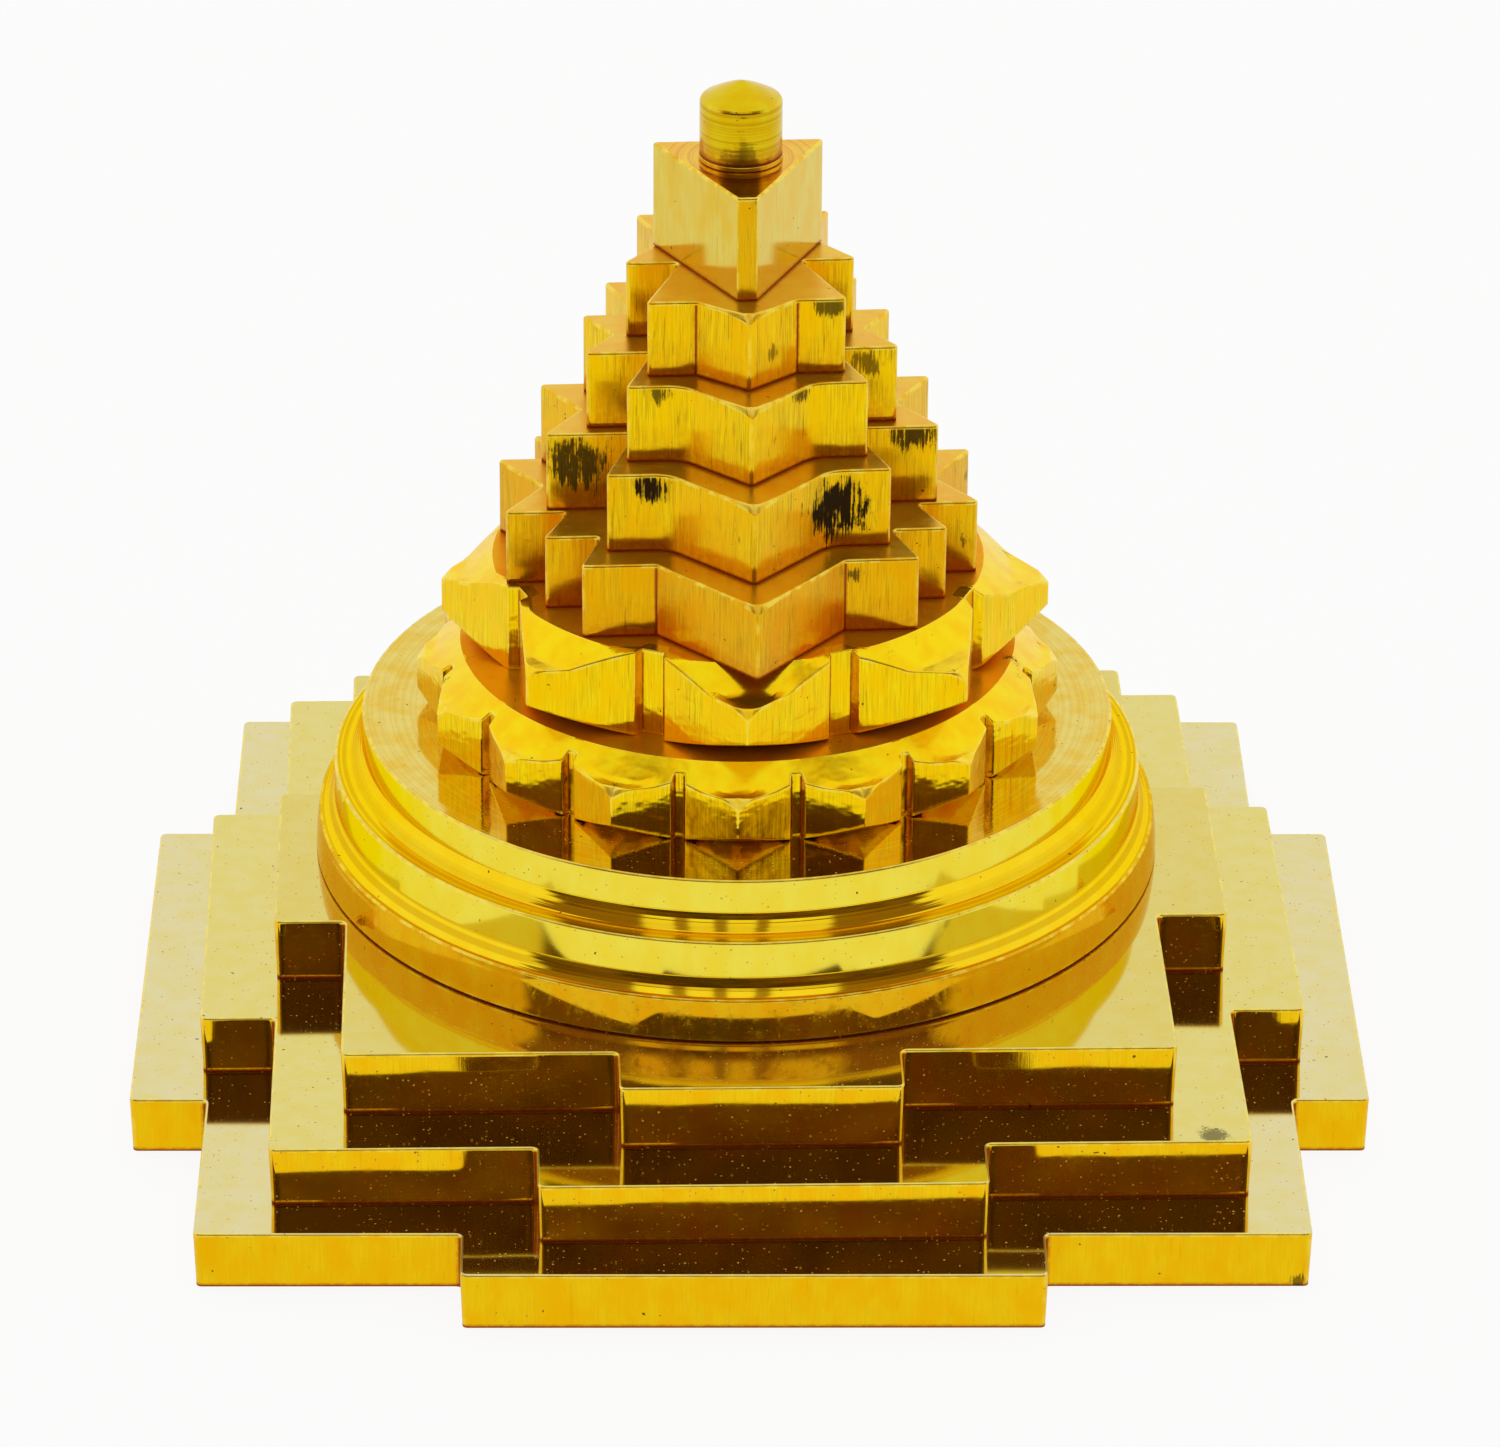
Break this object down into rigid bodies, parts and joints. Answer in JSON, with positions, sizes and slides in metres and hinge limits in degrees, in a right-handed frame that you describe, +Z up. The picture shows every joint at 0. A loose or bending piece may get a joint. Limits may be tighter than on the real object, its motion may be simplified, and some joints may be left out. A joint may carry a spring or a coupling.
{
  "type": "shri yantra",
  "caption": "Stepped brass meru shri yantra: square gated plates, a turned disc, petalled rings, stacked stars, a triangle and a domed bindu.",
  "frame": {"origin": "middle of the base plate on its underside", "axes": "+Z up, towards the bindu; -Y towards the front, which the front point of every star faces; +X to the right seen from the front"},
  "size_m": [0.076, 0.076, 0.063],
  "materials": {
    "lower_plate": "mirror polished, lightly scratched",
    "middle_plate": "mirror polished, lightly scratched",
    "upper_plate": "mirror polished, lightly scratched",
    "stepped_disc": "mirror polished, lightly scratched",
    "sixteen_petal_lotus": "polished tops, milled and brushed sides",
    "eight_petal_lotus": "polished tops, milled and brushed sides",
    "fourteen_point_star": "polished tops, milled and brushed sides",
    "outer_ten_point_star": "polished tops, milled and brushed sides",
    "inner_ten_point_star": "polished tops, milled and brushed sides",
    "eight_point_star": "polished tops, milled and brushed sides",
    "triangle": "polished tops, milled and brushed sides",
    "bindu": "polished tops, milled and brushed sides",
    "screw_washer": "plain steel",
    "long_screw": "plain steel",
    "star_locating_pin": "plain steel"
  },
  "bodies": {
    "root": {"lower_plate": "lower_plate", "middle_plate": "middle_plate", "upper_plate": "upper_plate", "stepped_disc": "stepped_disc", "sixteen_petal_lotus": "sixteen_petal_lotus", "eight_petal_lotus": "eight_petal_lotus", "fourteen_point_star": "fourteen_point_star", "outer_ten_point_star": "outer_ten_point_star", "inner_ten_point_star": "inner_ten_point_star", "eight_point_star": "eight_point_star", "triangle": "triangle", "bindu": "bindu", "screw_washer": "screw_washer", "long_screw": "long_screw", "star_locating_pin": "star_locating_pin"}
  },
  "joints": []
}
